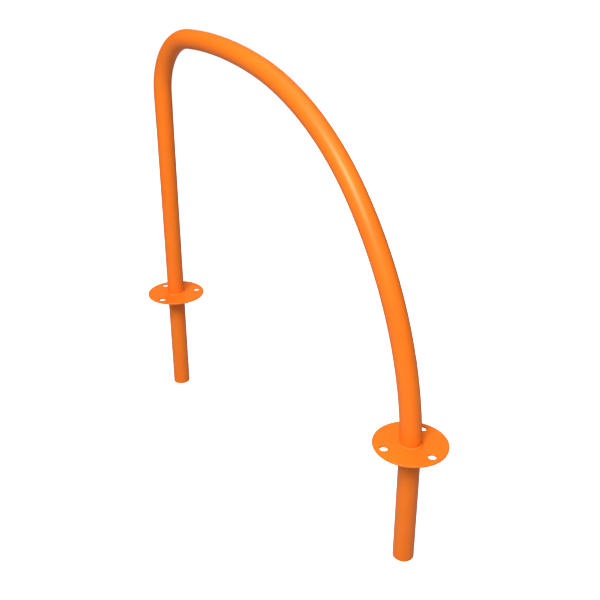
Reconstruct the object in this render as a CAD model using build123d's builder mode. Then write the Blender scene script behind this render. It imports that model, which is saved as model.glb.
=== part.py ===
from build123d import *
import os
from math import cos, radians, sin

# A lopsided playground arch to climb over and hang from. One steel tube is bent into the arch and
# runs on below ground as two straight roots. A round flange is slipped over each leg at ground
# level and welded to it all round, on both faces.
#
# Millimetres, +Z up. The arch stands in the XZ plane, with its swept leg towards +X. The origin is
# on the upright leg's axis, at ground level, which is the underside of both flanges.

# Tube
tube_diameter = 42.4
tube_wall = 2.6
end_deburr = 0.6

# Overall sizes of the arch
leg_spacing = 860.0
crown_height = 686.0
root_length = 265.0

# Bends, from the upright leg to the swept one. A heading is the way that the tube points, in
# degrees turned from straight up: 90 is level and 180 is straight down.
bend_radius = 138.0
crown_radius = 900.0
landing_radius = 210.0
bend_end_heading = 87.5
crown_end_heading = 104.0
shoulder_end_heading = 141.0
landing_start_heading = 175.0

# Flanges
flange_diameter = 145.0
flange_thickness = 4.0
flange_edge_radius = 1.2
slip_clearance = 0.4

# Three bolt holes in each flange: one on the far side from the other leg, two beside the tube
bolt_hole_diameter = 16.0
bolt_circle_diameter = 110.0
side_hole_bearing = 110.0
hole_edge_chamfer = 0.5

# Welds: a fillet above each flange, and below it a groove weld, flush so that the flange sits flat
fillet_leg = 3.0
fillet_crown = 0.4
groove_bevel = 2.5

tube_radius = tube_diameter / 2
slip_radius = tube_radius + slip_clearance
level = 90.0
straight_down = 180.0

# Below this height the swept leg is straight, so that its flange and welds fit round it
straight_foot = flange_thickness + fillet_leg


def travel(radius, start_heading, end_heading):
    """How far an arc goes along X and along Z while its heading turns from start to end."""
    start = radians(start_heading)
    end = radians(end_heading)
    return Vector(radius * (cos(start) - cos(end)), radius * (sin(end) - sin(start)))


def radii_across(gap, headings):
    """The radii of two arcs, with the three headings given, that together cross the gap."""
    start_heading, joint_heading, end_heading = headings
    first = travel(1.0, start_heading, joint_heading)
    second = travel(1.0, joint_heading, end_heading)
    spread = first.X * second.Y - second.X * first.Y
    first_radius = (gap.X * second.Y - second.X * gap.Y) / spread
    second_radius = (first.X * gap.Y - gap.X * first.Y) / spread
    return first_radius, second_radius


# The upright leg rises until the bend and the crown above it reach the crown's height
bend_travel = travel(bend_radius, 0.0, bend_end_heading)
crown_rise = travel(crown_radius, bend_end_heading, level).Y
bend_start_height = crown_height - tube_radius - crown_rise - bend_travel.Y

# The shoulder and the sweep take the tube from the crown's end to the start of the landing
crown_start = Vector(0, bend_start_height) + bend_travel
crown_end = crown_start + travel(crown_radius, bend_end_heading, crown_end_heading)
landing_end = Vector(leg_spacing, straight_foot)
landing_start = landing_end - travel(landing_radius, landing_start_heading, straight_down)
shoulder_radius, sweep_radius = radii_across(
    landing_start - crown_end,
    (crown_end_heading, shoulder_end_heading, landing_start_heading),
)


# Arch tube: a straight root and leg, five tangent arcs and the other root
with BuildPart() as arch_tube:
    with BuildLine(Plane.XZ) as centreline:
        last = Line((0, -root_length), (0, bend_start_height))
        for radius, start_heading, end_heading in (
            (bend_radius, 0.0, bend_end_heading),
            (crown_radius, bend_end_heading, crown_end_heading),
            (shoulder_radius, crown_end_heading, shoulder_end_heading),
            (sweep_radius, shoulder_end_heading, landing_start_heading),
            (landing_radius, landing_start_heading, straight_down),
        ):
            last = JernArc(last @ 1, last % 1, radius, start_heading - end_heading)
        Line(last @ 1, (leg_spacing, -root_length))
    with BuildSketch(Plane.XY.offset(-root_length)):
        Circle(tube_radius)
        Circle(tube_radius - tube_wall, mode=Mode.SUBTRACT)
    sweep(path=centreline.line)
    chamfer(arch_tube.edges().filter_by(GeomType.CIRCLE).group_by(Axis.Z)[0], end_deburr)
arch_tube.part.label = "arch_tube"


def make_flange(leg_x, outward, name):
    """The flange on the leg at leg_x, with its single outer hole towards outward along X."""
    seat = Plane(origin=(leg_x, 0, 0), x_dir=(outward, 0, 0), z_dir=(0, 0, 1))
    with BuildPart() as flange:
        with BuildSketch(seat):
            Circle(flange_diameter / 2)
            Circle(slip_radius, mode=Mode.SUBTRACT)
            with PolarLocations(
                bolt_circle_diameter / 2,
                3,
                start_angle=-side_hole_bearing,
                angular_range=2 * side_hole_bearing,
                endpoint=True,
            ):
                Circle(bolt_hole_diameter / 2, mode=Mode.SUBTRACT)
        extrude(amount=flange_thickness)
        lower_face = flange.faces().sort_by(Axis.Z)[0]
        upper_face = flange.faces().sort_by(Axis.Z)[-1]
        slip_hole_edge = lower_face.inner_wires().sort_by(SortBy.LENGTH)[-1].edges()
        bolt_hole_edges = upper_face.inner_wires().sort_by(SortBy.LENGTH)[:-1].edges()
        rim_edges = lower_face.outer_wire().edges() + upper_face.outer_wire().edges()
        chamfer(slip_hole_edge, groove_bevel)
        chamfer(bolt_hole_edges, hole_edge_chamfer)
        fillet(rim_edges, flange_edge_radius)
    flange.part.label = name
    return flange.part


def section_plane(leg_x, height):
    """The plane of the arch, with its origin on the leg's axis at the height given."""
    return Plane(origin=(leg_x, 0, height), x_dir=(1, 0, 0), z_dir=(0, -1, 0))


def make_fillet_weld(leg_x, name):
    """The bead in the corner between the leg and the flange's upper face, with a full face."""
    with BuildPart() as weld:
        with BuildSketch(section_plane(leg_x, flange_thickness)):
            with BuildLine():
                on_flange = (tube_radius + fillet_leg, 0)
                on_tube = (tube_radius, fillet_leg)
                Polyline(on_flange, (tube_radius, 0), on_tube)
                SagittaArc(on_flange, on_tube, -fillet_crown)
            make_face()
        revolve(axis=Axis((leg_x, 0, 0), (0, 0, 1)))
    weld.part.label = name
    return weld.part


def make_groove_weld(leg_x, name):
    """The ring of weld that fills the flange's lower bevel, flush with its underside."""
    with BuildPart() as weld:
        with BuildSketch(section_plane(leg_x, 0)):
            with BuildLine():
                Polyline(
                    (tube_radius, 0),
                    (slip_radius + groove_bevel, 0),
                    (slip_radius, groove_bevel),
                    (tube_radius, groove_bevel),
                    close=True,
                )
            make_face()
        revolve(axis=Axis((leg_x, 0, 0), (0, 0, 1)))
    weld.part.label = name
    return weld.part


# Each leg's place along X, and the way along X that faces away from the other leg
legs = {"upright": (0.0, -1), "swept": (leg_spacing, 1)}

pieces = [arch_tube.part]
for leg, (leg_x, outward) in legs.items():
    pieces.append(make_flange(leg_x, outward, f"{leg}_flange"))
    pieces.append(make_fillet_weld(leg_x, f"{leg}_fillet_weld"))
    pieces.append(make_groove_weld(leg_x, f"{leg}_groove_weld"))

os.makedirs("parts", exist_ok=True)
for piece in pieces:
    export_step(piece, f"parts/{piece.label}.step")
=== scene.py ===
import bpy
import numpy as np
from bpy.props import FloatProperty, FloatVectorProperty, IntProperty, PointerProperty
from mathutils import Matrix, Vector


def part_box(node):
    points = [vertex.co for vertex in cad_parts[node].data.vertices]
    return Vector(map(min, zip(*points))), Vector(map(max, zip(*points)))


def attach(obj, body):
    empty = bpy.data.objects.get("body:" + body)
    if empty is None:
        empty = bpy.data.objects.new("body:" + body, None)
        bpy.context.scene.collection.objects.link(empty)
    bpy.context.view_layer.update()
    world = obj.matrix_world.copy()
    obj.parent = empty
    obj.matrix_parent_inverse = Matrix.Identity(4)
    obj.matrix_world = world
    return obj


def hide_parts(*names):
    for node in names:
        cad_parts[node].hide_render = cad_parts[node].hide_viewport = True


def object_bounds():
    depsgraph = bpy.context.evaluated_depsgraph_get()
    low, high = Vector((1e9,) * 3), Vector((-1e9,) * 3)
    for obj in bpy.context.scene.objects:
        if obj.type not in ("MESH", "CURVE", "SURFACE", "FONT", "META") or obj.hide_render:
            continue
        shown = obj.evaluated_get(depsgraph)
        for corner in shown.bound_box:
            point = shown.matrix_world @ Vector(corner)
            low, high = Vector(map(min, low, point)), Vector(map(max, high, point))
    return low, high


bl_info = {
    "name": "Climbing Arch",
    "version": (1, 0, 0),
    "blender": (4, 5, 0),
    "location": "3D View > Sidebar > Climbing Arch",
    "description": "Powder-coats a bent tube arch, lays its weld beads and sets up a studio round it",
    "category": "Object",
}

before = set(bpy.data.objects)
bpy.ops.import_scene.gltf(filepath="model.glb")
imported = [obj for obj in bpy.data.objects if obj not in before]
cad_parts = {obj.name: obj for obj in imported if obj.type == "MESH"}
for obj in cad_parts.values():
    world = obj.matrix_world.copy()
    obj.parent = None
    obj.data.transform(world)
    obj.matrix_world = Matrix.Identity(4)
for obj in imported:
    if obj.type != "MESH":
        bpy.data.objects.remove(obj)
cad_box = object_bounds()

MM = 0.001
TURN = 2 * np.pi
LEGS = ("upright", "swept")
WHITE = (1.0, 1.0, 1.0, 1.0)

# A dip square to a 45 degree face goes this far along each of the two directions beside it
DIAGONAL = np.sqrt(0.5)

# Slow changes round a bead, each as waves per turn, start in radians and size: how far the
# ripples stray from an even pitch, in radians, and how much their height swells and shrinks
PITCH_WANDER = ((3, 0.7, 0.35), (7, 0.0, 0.25))
HEIGHT_SWELL = ((5, 1.9, 0.15),)
MEAN_HEIGHT = 0.85

# How steeply the ripples fade towards a bead's toes: a lower power keeps them up for longer
TOE_FADE_POWER = 0.6

# Orange peel: the long waves' scale and weight beside the short ones, and how many times deeper
# the bump is set than the peel, because the noise only uses part of its range
LONG_WAVE_SCALE = 0.25
LONG_WAVE_WEIGHT = 0.45
NOISE_RANGE = 4.0

# Thick and thin film: patches per metre, the noise values where thin film starts and thick film
# is reached, and what the colour is multiplied by where it is thickest
PATCHES_PER_METRE = 9.0
PATCH_EDGES = (0.35, 0.65)
THICK_FILM_TINT = (0.86, 0.62, 0.45, 1.0)

# Uneven gloss: fine grain per metre, the range of patches and grain added up, and the change in
# roughness at either end of it
GRAIN_PER_METRE = 2200.0
GLOSS_EDGES = (0.6, 1.4)
GLOSS_SWING = 0.05

# Refractive index of the cured film
FILM_IOR = 1.5

# Each lamp: degrees round the arch from the camera towards its left, degrees above level, width
# in metres, and whether it shows in the coat as a reflection
LAMPS = {
    "key": (18.0, 45.0, 1.5, True),
    "back": (180.0, 25.0, 2.0, False),
    "top": (0.0, 85.0, 3.0, True),
}
FLOOR_HALF_WIDTH = 12.0
FLOOR_ROUGHNESS = 0.9
SENSOR_WIDTH = 36.0

# A Mix node's sockets by number, because its kinds share their names
MIX_FACTOR = 0
FLOAT_A, FLOAT_B, FLOAT_RESULT = 2, 3, 0
COLOUR_A, COLOUR_B, COLOUR_RESULT = 6, 7, 2


# ---------------------------------------------------------------------------------------------
# Settings
# ---------------------------------------------------------------------------------------------


class CoatSettings(bpy.types.PropertyGroup):
    """The orange powder coat that covers every piece."""

    colour: FloatVectorProperty(
        name="Colour",
        description="Colour of the cured powder coat",
        subtype="COLOR",
        size=3,
        min=0.0,
        max=1.0,
        default=(0.9, 0.183, 0.009),
    )
    highlight_tint: FloatVectorProperty(
        name="Highlight Tint",
        description="Colour that the fine warm pigment gives to the film's highlights",
        subtype="COLOR",
        size=3,
        min=0.0,
        max=1.0,
        default=(1.0, 0.8, 0.5),
    )
    roughness: FloatProperty(
        name="Roughness",
        description="Mean roughness of the semi-gloss film",
        subtype="FACTOR",
        min=0.0,
        max=1.0,
        default=0.39,
    )
    weld_roughness: FloatProperty(
        name="Weld Roughness",
        description="Mean roughness of the film over the weld beads, where it cures duller",
        subtype="FACTOR",
        min=0.0,
        max=1.0,
        default=0.62,
    )
    peel_size: FloatProperty(
        name="Peel Size",
        description="Distance between the small waves of the orange peel",
        subtype="DISTANCE",
        default=1.6 * MM,
    )
    peel_depth: FloatProperty(
        name="Peel Depth",
        description="Height of the orange peel",
        subtype="DISTANCE",
        default=0.04 * MM,
    )
    tone_shift: FloatProperty(
        name="Tone Shift",
        description="How much thick and thin film differ in tone",
        subtype="FACTOR",
        min=0.0,
        max=1.0,
        default=0.2,
    )


class BeadSettings(bpy.types.PropertyGroup):
    """The weld beads' open faces, and the ripples that the weld pool leaves in them."""

    fullness: FloatProperty(
        name="Fullness",
        description="How far a fillet's face bulges past a straight slope, as a share of its legs",
        subtype="FACTOR",
        min=0.0,
        max=1.0,
        default=0.12,
    )
    ripple_pitch: FloatProperty(
        name="Ripple Pitch",
        description="Distance from one ripple to the next, round the tube",
        subtype="DISTANCE",
        default=1.9 * MM,
    )
    ripple_height: FloatProperty(
        name="Ripple Height",
        description="How far a ripple's crest stands above its trough",
        subtype="DISTANCE",
        default=0.28 * MM,
    )
    ripple_lag: FloatProperty(
        name="Ripple Lag",
        description="How far the middle of a ripple trails behind its two ends",
        subtype="DISTANCE",
        default=1.3 * MM,
    )
    steps_round: IntProperty(
        name="Steps Round",
        description="Number of mesh steps round the tube",
        default=720,
    )
    steps_across: IntProperty(
        name="Steps Across",
        description="Number of mesh points across the bead's open face",
        default=14,
    )


class StageSettings(bpy.types.PropertyGroup):
    """The camera, the lights and the floor."""

    camera_place: FloatVectorProperty(
        name="Camera Place",
        description="Where the camera stands",
        subtype="TRANSLATION",
        size=3,
        default=(1.6998, -0.9337, 0.8868),
    )
    camera_heading: FloatProperty(
        name="Camera Heading",
        description="Way that the camera looks, turned from +X towards +Y",
        subtype="ANGLE",
        default=np.radians(141.325),
    )
    camera_tilt: FloatProperty(
        name="Camera Tilt",
        description="How far the camera looks down from level",
        subtype="ANGLE",
        default=np.radians(23.426),
    )
    camera_roll: FloatProperty(
        name="Camera Roll",
        description="How far the camera leans to its left",
        subtype="ANGLE",
        default=np.radians(0.149),
    )
    lens: FloatProperty(
        name="Lens",
        description="Focal length in millimetres on a 36 mm sensor",
        default=47.66,
    )
    shift_x: FloatProperty(
        name="Shift X",
        description="Sideways shift of the frame, in frame widths",
        default=-0.0033,
    )
    shift_y: FloatProperty(
        name="Shift Y",
        description="Upward shift of the frame, in frame widths",
        default=-0.0450,
    )
    floor_colour: FloatVectorProperty(
        name="Floor Colour",
        description="Colour of the plain pale floor where it is seen directly",
        subtype="COLOR",
        size=3,
        min=0.0,
        max=1.0,
        default=(0.92, 0.92, 0.92),
    )
    floor_bounce: FloatProperty(
        name="Floor Bounce",
        description="Grey of the floor in the light that it throws back on the arch",
        subtype="FACTOR",
        min=0.0,
        max=1.0,
        default=0.35,
    )
    floor_glow: FloatProperty(
        name="Floor Glow",
        description="How far the floor is lifted towards white where it is seen directly",
        default=0.8,
    )
    sky_strength: FloatProperty(
        name="Sky Strength",
        description="Strength of the even light from all round",
        default=0.28,
    )
    sky_reflection: FloatProperty(
        name="Sky Reflection",
        description="Strength of the surroundings where they are seen as a reflection",
        default=0.03,
    )
    lamp_distance: FloatProperty(
        name="Lamp Distance",
        description="Distance of every lamp from the middle of the arch",
        subtype="DISTANCE",
        default=3.5,
    )
    key_power: FloatProperty(
        name="Key Power",
        description="Power of the large soft light at the camera's left",
        subtype="POWER",
        default=136.0,
    )
    back_power: FloatProperty(
        name="Back Power",
        description="Power of the weaker soft light behind the arch",
        subtype="POWER",
        default=58.0,
    )
    top_power: FloatProperty(
        name="Top Power",
        description="Power of the wide soft light almost straight above the arch",
        subtype="POWER",
        default=34.0,
    )


# ---------------------------------------------------------------------------------------------
# Weld beads
# ---------------------------------------------------------------------------------------------


def turns_round(steps):
    """A ring's mesh steps as a column of turns, from 0 up to a full turn without its end."""
    return np.linspace(0.0, TURN, steps, endpoint=False)[:, None]


def shares_across(steps):
    """The mesh points across a bead's open face as a row, from 0 at one toe to 1 at the other."""
    return np.linspace(0.0, 1.0, steps)[None, :]


def slow_waves(turn, waves):
    """The sum of size * sin(count * turn + start) over the waves given."""
    return sum(size * np.sin(count * turn + start) for count, start, size in waves)


def ripples(bead, bead_radius):
    """How far the weld pool's ripples lower a bead's face, as an array of shape (round, across).

    With s the distance round the bead and u running from 0 to 1 across it, the ripple is
    half of 1 - cos(TURN * (s + lag * 4 * u * (1 - u)) / pitch), so that each crest is bowed
    back in the middle. It fades out towards both toes as sin(pi * u) to the fade's power, and
    its pitch and height change slowly on the way round.
    """
    turn = turns_round(bead.steps_round)
    u = shares_across(bead.steps_across)
    count = round(TURN * bead_radius / bead.ripple_pitch)
    bow = bead.ripple_lag / bead_radius * 4.0 * u * (1.0 - u)
    wave = 0.5 * (1.0 - np.cos(count * (turn + bow) + slow_waves(turn, PITCH_WANDER)))
    fade = np.sin(np.pi * u) ** TOE_FADE_POWER
    swell = MEAN_HEIGHT + slow_waves(turn, HEIGHT_SWELL)
    return bead.ripple_height * wave * fade * swell


def fillet_section(bead, inner, outer, bottom, top):
    """A fillet's radius and height, as arrays that go across its open face and then its corner.

    With u running from 0 at the flange to 1 at the tube, and a bulge b of
    fullness * sin(pi * u), the face lies at radius = inner + (outer - inner) * (1 - u + b) and
    height = bottom + (top - bottom) * (u + b), and the ripples sink into it at 45 degrees.
    """
    around = np.ones((bead.steps_round, 1))
    u = shares_across(bead.steps_across)
    bulge = bead.fullness * np.sin(np.pi * u)
    dip = ripples(bead, (inner + outer) / 2) * DIAGONAL
    face_radius = inner + (outer - inner) * (1.0 - u + bulge) - dip
    face_height = bottom + (top - bottom) * (u + bulge) - dip
    radius = np.concatenate([face_radius, inner * around], axis=1)
    height = np.concatenate([face_height, bottom * around], axis=1)
    return radius, height


def groove_section(bead, inner, outer, bottom, top):
    """A groove weld's radius and height, as arrays that go across its lower face and its top.

    With u running from 0 at the tube to 1 at the bevel's edge, the lower face lies at
    radius = inner + (outer - inner) * u and height = bottom, and the ripples sink up into it.
    The bevel is at 45 degrees, so the flat top is narrower by the weld's depth.
    """
    around = np.ones((bead.steps_round, 1))
    u = shares_across(bead.steps_across)
    face_radius = (inner + (outer - inner) * u) * around
    face_height = bottom + ripples(bead, (inner + outer) / 2)
    bevel_end = outer - (top - bottom)
    radius = np.concatenate([face_radius, bevel_end * around, inner * around], axis=1)
    height = np.concatenate([face_height, top * around, top * around], axis=1)
    return radius, height


def ring_mesh(name, centre, radius, height):
    """A closed ring from two arrays of shape (round, across), both ways round without a gap.

    At a turn t about the centre, a point of the section lies at
    x = centre x + radius * cos(t), y = centre y + radius * sin(t), z = height.
    """
    turns, across = radius.shape
    turn = turns_round(turns)
    points = np.stack(
        [centre[0] + radius * np.cos(turn), centre[1] + radius * np.sin(turn), height], axis=-1
    ).reshape(-1, 3)
    here = np.arange(turns)[:, None] * across + np.arange(across)[None, :]
    ahead = np.roll(here, -1, axis=0)
    faces = np.stack(
        [here, ahead, np.roll(ahead, -1, axis=1), np.roll(here, -1, axis=1)], axis=-1
    ).reshape(-1, 4)
    mesh = bpy.data.meshes.new(name)
    mesh.from_pydata(points, [], faces.tolist())
    mesh.update()
    mesh.shade_smooth()
    piece = bpy.data.objects.new(name, mesh)
    bpy.context.scene.collection.objects.link(piece)
    return piece


def lay_beads(kind, section):
    """Replaces the CAD weld of one kind on each leg with a rippled ring of the same size."""
    bead = bpy.context.scene.arch_bead
    tube_low, tube_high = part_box("arch_tube")
    inner = (tube_high.y - tube_low.y) / 2
    for leg in LEGS:
        node = f"{leg}_{kind}_weld"
        low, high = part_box(node)
        outer = (high.x - low.x) / 2
        flange_low, flange_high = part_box(f"{leg}_flange")
        centre = (flange_low + flange_high) / 2
        radius, height = section(bead, inner, outer, low.z, high.z)
        piece = ring_mesh(f"{leg}_{kind}_bead", centre, radius, height)
        piece.data.materials.append(coated("Weld"))
        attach(piece, "root")
        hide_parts(node)


# ---------------------------------------------------------------------------------------------
# Materials
# ---------------------------------------------------------------------------------------------


def new_node(tree, kind, place, **settings):
    """Adds a node to a tree, with its attributes, and its inputs' values by name or number."""
    node = tree.nodes.new(kind)
    node.location = place
    for name, value in settings.pop("inputs", {}).items():
        node.inputs[name].default_value = value
    for name, value in settings.items():
        setattr(node, name, value)
    return node


def add_orange_peel(tree, given, place, result):
    """Height: small waves on top of waves that are a few times as long."""
    link = tree.links.new
    peel = new_node(
        tree, "ShaderNodeTexNoise", (-500, -250), inputs={"Detail": 1.0, "Roughness": 0.4}
    )
    long_scale = new_node(
        tree, "ShaderNodeMath", (-700, -500), operation="MULTIPLY", inputs={1: LONG_WAVE_SCALE}
    )
    long_peel = new_node(tree, "ShaderNodeTexNoise", (-500, -500), inputs={"Detail": 0.0})
    height = new_node(
        tree, "ShaderNodeMix", (-200, -350), data_type="FLOAT", inputs={MIX_FACTOR: LONG_WAVE_WEIGHT}
    )
    link(place.outputs["Object"], peel.inputs["Vector"])
    link(place.outputs["Object"], long_peel.inputs["Vector"])
    link(given.outputs["Peel Scale"], peel.inputs["Scale"])
    link(given.outputs["Peel Scale"], long_scale.inputs[0])
    link(long_scale.outputs[0], long_peel.inputs["Scale"])
    link(peel.outputs["Fac"], height.inputs[FLOAT_A])
    link(long_peel.outputs["Fac"], height.inputs[FLOAT_B])
    link(height.outputs[FLOAT_RESULT], result.inputs["Height"])


def add_film_tone(tree, given, patches, result):
    """Colour: broad soft patches, a little darker and redder where the film is thick."""
    link = tree.links.new
    thin_end, thick_end = PATCH_EDGES
    thick = new_node(
        tree,
        "ShaderNodeMapRange",
        (-250, 250),
        inputs={"From Min": thin_end, "From Max": thick_end, "To Min": 0.0, "To Max": 1.0},
    )
    amount = new_node(tree, "ShaderNodeMath", (0, 250), operation="MULTIPLY")
    deep = new_node(
        tree,
        "ShaderNodeMix",
        (0, 500),
        data_type="RGBA",
        blend_type="MULTIPLY",
        inputs={MIX_FACTOR: 1.0, COLOUR_B: THICK_FILM_TINT},
    )
    tone = new_node(tree, "ShaderNodeMix", (300, 350), data_type="RGBA")
    link(patches.outputs["Fac"], thick.inputs["Value"])
    link(thick.outputs["Result"], amount.inputs[0])
    link(given.outputs["Tone Shift"], amount.inputs[1])
    link(given.outputs["Colour"], deep.inputs[COLOUR_A])
    link(amount.outputs[0], tone.inputs[MIX_FACTOR])
    link(given.outputs["Colour"], tone.inputs[COLOUR_A])
    link(deep.outputs[COLOUR_RESULT], tone.inputs[COLOUR_B])
    link(tone.outputs[COLOUR_RESULT], result.inputs["Colour"])


def add_uneven_gloss(tree, given, place, patches, result):
    """Roughness: slightly uneven, in the same patches and in fine grain."""
    link = tree.links.new
    low_end, high_end = GLOSS_EDGES
    grain = new_node(
        tree, "ShaderNodeTexNoise", (-200, 0), inputs={"Scale": GRAIN_PER_METRE, "Detail": 1.0}
    )
    uneven = new_node(tree, "ShaderNodeMath", (0, 50), operation="ADD")
    swing = new_node(
        tree,
        "ShaderNodeMapRange",
        (250, 50),
        inputs={
            "From Min": low_end,
            "From Max": high_end,
            "To Min": -GLOSS_SWING,
            "To Max": GLOSS_SWING,
        },
    )
    gloss = new_node(tree, "ShaderNodeMath", (500, 50), operation="ADD")
    link(place.outputs["Object"], grain.inputs["Vector"])
    link(patches.outputs["Fac"], uneven.inputs[0])
    link(grain.outputs["Fac"], uneven.inputs[1])
    link(uneven.outputs[0], swing.inputs["Value"])
    link(swing.outputs["Result"], gloss.inputs[0])
    link(given.outputs["Roughness"], gloss.inputs[1])
    link(gloss.outputs[0], result.inputs["Roughness"])


def powder_film_group():
    """The film's look, shared by every coated piece: tone, roughness and orange peel."""
    name = "Powder Film"
    if name in bpy.data.node_groups:
        return bpy.data.node_groups[name]
    tree = bpy.data.node_groups.new(name, "ShaderNodeTree")
    for label, way, kind in (
        ("Colour", "INPUT", "NodeSocketColor"),
        ("Roughness", "INPUT", "NodeSocketFloat"),
        ("Peel Scale", "INPUT", "NodeSocketFloat"),
        ("Tone Shift", "INPUT", "NodeSocketFloat"),
        ("Colour", "OUTPUT", "NodeSocketColor"),
        ("Roughness", "OUTPUT", "NodeSocketFloat"),
        ("Height", "OUTPUT", "NodeSocketFloat"),
    ):
        tree.interface.new_socket(label, in_out=way, socket_type=kind)
    given = new_node(tree, "NodeGroupInput", (-900, 0))
    result = new_node(tree, "NodeGroupOutput", (900, 0))
    place = new_node(tree, "ShaderNodeTexCoord", (-900, -300))
    patches = new_node(
        tree,
        "ShaderNodeTexNoise",
        (-500, 250),
        inputs={"Scale": PATCHES_PER_METRE, "Detail": 3.0, "Roughness": 0.55},
    )
    tree.links.new(place.outputs["Object"], patches.inputs["Vector"])
    add_orange_peel(tree, given, place, result)
    add_film_tone(tree, given, patches, result)
    add_uneven_gloss(tree, given, place, patches, result)
    return tree


def coat_material(name, coat, roughness):
    """Orange powder coat: a film over metal, as one rough plastic layer with orange peel."""
    material = bpy.data.materials.new(name)
    material.use_nodes = True
    tree = material.node_tree
    shader = tree.nodes["Principled BSDF"]
    shader.inputs["IOR"].default_value = FILM_IOR
    shader.inputs["Specular Tint"].default_value = (*coat.highlight_tint, 1.0)
    film = new_node(tree, "ShaderNodeGroup", (-600, 200), node_tree=powder_film_group())
    film.inputs["Colour"].default_value = (*coat.colour, 1.0)
    film.inputs["Roughness"].default_value = roughness
    film.inputs["Peel Scale"].default_value = 1.0 / coat.peel_size
    film.inputs["Tone Shift"].default_value = coat.tone_shift
    bump = new_node(
        tree,
        "ShaderNodeBump",
        (-300, -100),
        inputs={"Strength": 1.0, "Distance": coat.peel_depth * NOISE_RANGE},
    )
    tree.links.new(film.outputs["Colour"], shader.inputs["Base Color"])
    tree.links.new(film.outputs["Roughness"], shader.inputs["Roughness"])
    tree.links.new(film.outputs["Height"], bump.inputs["Height"])
    tree.links.new(bump.outputs["Normal"], shader.inputs["Normal"])
    return material


def coated(kind):
    """The coat on the tube, the plates or the welds, made once each."""
    name = f"Coated {kind}"
    if name in bpy.data.materials:
        return bpy.data.materials[name]
    coat = bpy.context.scene.arch_coat
    roughness = coat.weld_roughness if kind == "Weld" else coat.roughness
    return coat_material(name, coat, roughness)


def floor_material(stage):
    """Pale and lifted towards white to the eye, but darker in the light it throws back."""
    material = bpy.data.materials.new("Pale Floor")
    material.use_nodes = True
    tree = material.node_tree
    shader = tree.nodes["Principled BSDF"]
    shader.inputs["Roughness"].default_value = FLOOR_ROUGHNESS
    shader.inputs["Emission Color"].default_value = WHITE
    bounce = stage.floor_bounce
    rays = new_node(tree, "ShaderNodeLightPath", (-700, 0))
    seen = new_node(
        tree,
        "ShaderNodeMix",
        (-400, 100),
        data_type="RGBA",
        inputs={COLOUR_A: (bounce, bounce, bounce, 1.0), COLOUR_B: (*stage.floor_colour, 1.0)},
    )
    glow = new_node(
        tree, "ShaderNodeMath", (-400, -200), operation="MULTIPLY", inputs={1: stage.floor_glow}
    )
    tree.links.new(rays.outputs["Is Camera Ray"], seen.inputs[MIX_FACTOR])
    tree.links.new(rays.outputs["Is Camera Ray"], glow.inputs[0])
    tree.links.new(seen.outputs[COLOUR_RESULT], shader.inputs["Base Color"])
    tree.links.new(glow.outputs[0], shader.inputs["Emission Strength"])
    return material


# ---------------------------------------------------------------------------------------------
# Stage
# ---------------------------------------------------------------------------------------------


def cad_middle():
    """The middle of the CAD box."""
    return (cad_box[0] + cad_box[1]) / 2


def direction(heading, height):
    """The unit vector along a heading, turned from +X towards +Y, at an angle above level."""
    level = np.cos(height)
    return Vector((level * np.cos(heading), level * np.sin(heading), np.sin(height)))


def aim(place, target):
    """A matrix for a lamp or camera at place that points towards target."""
    turn = (target - place).to_track_quat("-Z", "Y")
    return Matrix.LocRotScale(place, turn, None)


def make_floor(stage):
    """One wide flat face under the lowest point of the arch."""
    centre = cad_middle()
    corners = [(-1, -1), (1, -1), (1, 1), (-1, 1)]
    points = [
        (centre.x + FLOOR_HALF_WIDTH * x, centre.y + FLOOR_HALF_WIDTH * y, cad_box[0].z)
        for x, y in corners
    ]
    mesh = bpy.data.meshes.new("floor")
    mesh.from_pydata(points, [], [(0, 1, 2, 3)])
    mesh.materials.append(floor_material(stage))
    floor = bpy.data.objects.new("floor", mesh)
    bpy.context.scene.collection.objects.link(floor)


def make_sky(stage):
    """Even light from all round: white to the eye, dimmer as light and dimmest as a reflection."""
    world = bpy.data.worlds.new("Studio")
    world.use_nodes = True
    tree = world.node_tree
    sky = tree.nodes["Background"]
    sky.inputs["Color"].default_value = WHITE
    rays = new_node(tree, "ShaderNodeLightPath", (-500, 0))
    dim = new_node(
        tree,
        "ShaderNodeMix",
        (-300, -200),
        data_type="FLOAT",
        inputs={FLOAT_A: stage.sky_strength, FLOAT_B: stage.sky_reflection},
    )
    strength = new_node(
        tree, "ShaderNodeMix", (-100, 0), data_type="FLOAT", inputs={FLOAT_B: 1.0}
    )
    tree.links.new(rays.outputs["Is Glossy Ray"], dim.inputs[MIX_FACTOR])
    tree.links.new(dim.outputs[FLOAT_RESULT], strength.inputs[FLOAT_A])
    tree.links.new(rays.outputs["Is Camera Ray"], strength.inputs[MIX_FACTOR])
    tree.links.new(strength.outputs[FLOAT_RESULT], sky.inputs["Strength"])
    bpy.context.scene.world = world


def make_lamps(stage):
    """Square soft lamps round the arch, each aimed at its middle."""
    middle = cad_middle()
    for name, (left, height, width, shows) in LAMPS.items():
        heading = stage.camera_heading + np.pi - np.radians(left)
        place = middle + stage.lamp_distance * direction(heading, np.radians(height))
        lamp = bpy.data.lights.new(name, "AREA")
        lamp.shape = "SQUARE"
        lamp.size = width
        lamp.energy = getattr(stage, f"{name}_power")
        holder = bpy.data.objects.new(name, lamp)
        holder.matrix_world = aim(place, middle)
        holder.visible_glossy = shows
        bpy.context.scene.collection.objects.link(holder)


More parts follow.
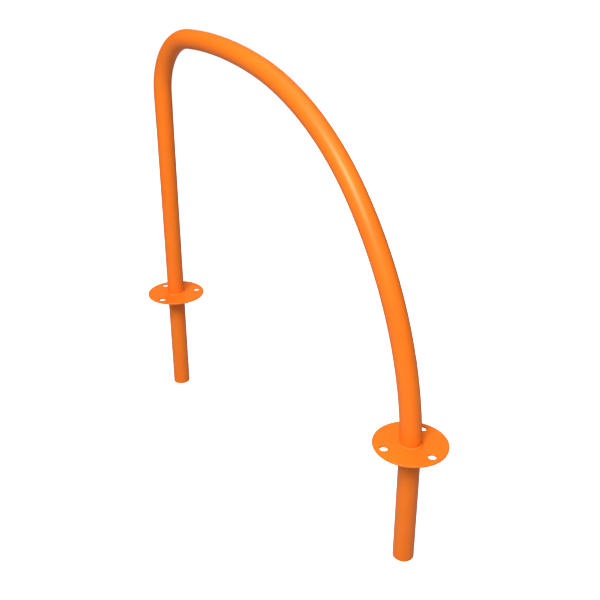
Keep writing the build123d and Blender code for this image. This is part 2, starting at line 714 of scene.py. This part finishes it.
def make_camera(stage):
    """The camera in its place, turned along its heading, tilted down and leaned to its left."""
    camera = bpy.data.cameras.new("camera")
    camera.sensor_width = SENSOR_WIDTH
    camera.lens = stage.lens
    camera.shift_x = stage.shift_x
    camera.shift_y = stage.shift_y
    place = Vector(stage.camera_place)
    look = direction(stage.camera_heading, -stage.camera_tilt)
    holder = bpy.data.objects.new("camera", camera)
    holder.matrix_world = aim(place, place + look) @ Matrix.Rotation(stage.camera_roll, 4, "Z")
    bpy.context.scene.collection.objects.link(holder)
    bpy.context.scene.camera = holder


# ---------------------------------------------------------------------------------------------
# Operators
# ---------------------------------------------------------------------------------------------


class ARCH_OT_coat_tube_and_flanges(bpy.types.Operator):
    """Powder-coats the arch tube and both flanges"""

    bl_idname = "arch.coat_tube_and_flanges"
    bl_label = "Coat Tube and Flanges"

    def execute(self, context):
        kinds = {"arch_tube": "Tube", "upright_flange": "Plate", "swept_flange": "Plate"}
        for node, kind in kinds.items():
            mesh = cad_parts[node].data
            mesh.materials.clear()
            mesh.materials.append(coated(kind))
        return {"FINISHED"}


class ARCH_OT_lay_fillet_welds(bpy.types.Operator):
    """Lays the rippled bead between each leg and its flange's upper face"""

    bl_idname = "arch.lay_fillet_welds"
    bl_label = "Lay Fillet Welds"

    def execute(self, context):
        lay_beads("fillet", fillet_section)
        return {"FINISHED"}


class ARCH_OT_lay_groove_welds(bpy.types.Operator):
    """Lays the shallow rippled ring that fills each flange's lower bevel"""

    bl_idname = "arch.lay_groove_welds"
    bl_label = "Lay Groove Welds"

    def execute(self, context):
        lay_beads("groove", groove_section)
        return {"FINISHED"}


class ARCH_OT_set_stage(bpy.types.Operator):
    """Sets the floor, the lights and the camera"""

    bl_idname = "arch.set_stage"
    bl_label = "Set Stage"

    def execute(self, context):
        stage = context.scene.arch_stage
        make_floor(stage)
        make_sky(stage)
        make_lamps(stage)
        make_camera(stage)
        context.scene.view_settings.view_transform = "Standard"
        return {"FINISHED"}


# ---------------------------------------------------------------------------------------------
# Panel and registration
# ---------------------------------------------------------------------------------------------


class ARCH_PT_panel(bpy.types.Panel):
    """Lists the settings and the steps in order"""

    bl_label = "Climbing Arch"
    bl_idname = "ARCH_PT_panel"
    bl_space_type = "VIEW_3D"
    bl_region_type = "UI"
    bl_category = "Climbing Arch"

    def draw(self, context):
        layout = self.layout
        for settings in (context.scene.arch_coat, context.scene.arch_bead, context.scene.arch_stage):
            box = layout.box()
            for name in settings.__annotations__:
                box.prop(settings, name)
        for step in STEPS:
            layout.operator(step.bl_idname)


STEPS = (
    ARCH_OT_coat_tube_and_flanges,
    ARCH_OT_lay_fillet_welds,
    ARCH_OT_lay_groove_welds,
    ARCH_OT_set_stage,
)
CLASSES = (CoatSettings, BeadSettings, StageSettings, *STEPS, ARCH_PT_panel)


def register():
    """Registers the classes and hangs the settings on the scene."""
    for cls in CLASSES:
        bpy.utils.register_class(cls)
    bpy.types.Scene.arch_coat = PointerProperty(type=CoatSettings)
    bpy.types.Scene.arch_bead = PointerProperty(type=BeadSettings)
    bpy.types.Scene.arch_stage = PointerProperty(type=StageSettings)


def unregister():
    """Undoes what register did, in the opposite order."""
    del bpy.types.Scene.arch_stage
    del bpy.types.Scene.arch_bead
    del bpy.types.Scene.arch_coat
    for cls in reversed(CLASSES):
        bpy.utils.unregister_class(cls)


def main():
    """Makes every piece and the stage."""
    register()
    bpy.ops.arch.coat_tube_and_flanges()
    bpy.ops.arch.lay_fillet_welds()
    bpy.ops.arch.lay_groove_welds()
    bpy.ops.arch.set_stage()


if __name__ == "__main__":
    main()
